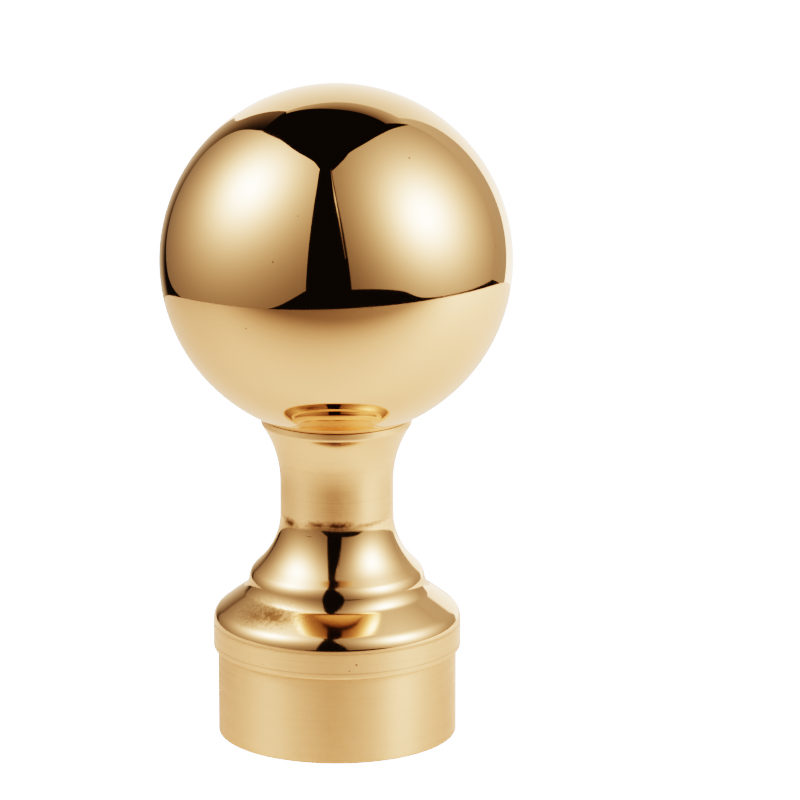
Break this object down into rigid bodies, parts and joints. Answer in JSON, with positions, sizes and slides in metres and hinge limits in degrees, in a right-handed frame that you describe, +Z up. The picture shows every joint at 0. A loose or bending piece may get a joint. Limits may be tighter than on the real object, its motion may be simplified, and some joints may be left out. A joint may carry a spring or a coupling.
{
  "type": "flagpole finial",
  "caption": "Ball on a waisted, turned stem with a stepped foot and collar, above a short tube sleeve that fits over or into a flagpole's top.",
  "frame": {"origin": "on the axis, at the lower rim of the sleeve", "axes": "+Z up along the axis that every piece is turned about; +X and +Y are interchangeable"},
  "size_m": [0.085, 0.085, 0.16],
  "materials": {
    "polished_brass": "mirror polished",
    "turned_brass": "polished on the lathe, with fine turning lines",
    "brushed_brass": "satin, brushed round the tube"
  },
  "bodies": {
    "root": {"ball": "polished_brass", "stem": "turned_brass", "socket_sleeve": "brushed_brass"}
  },
  "joints": []
}
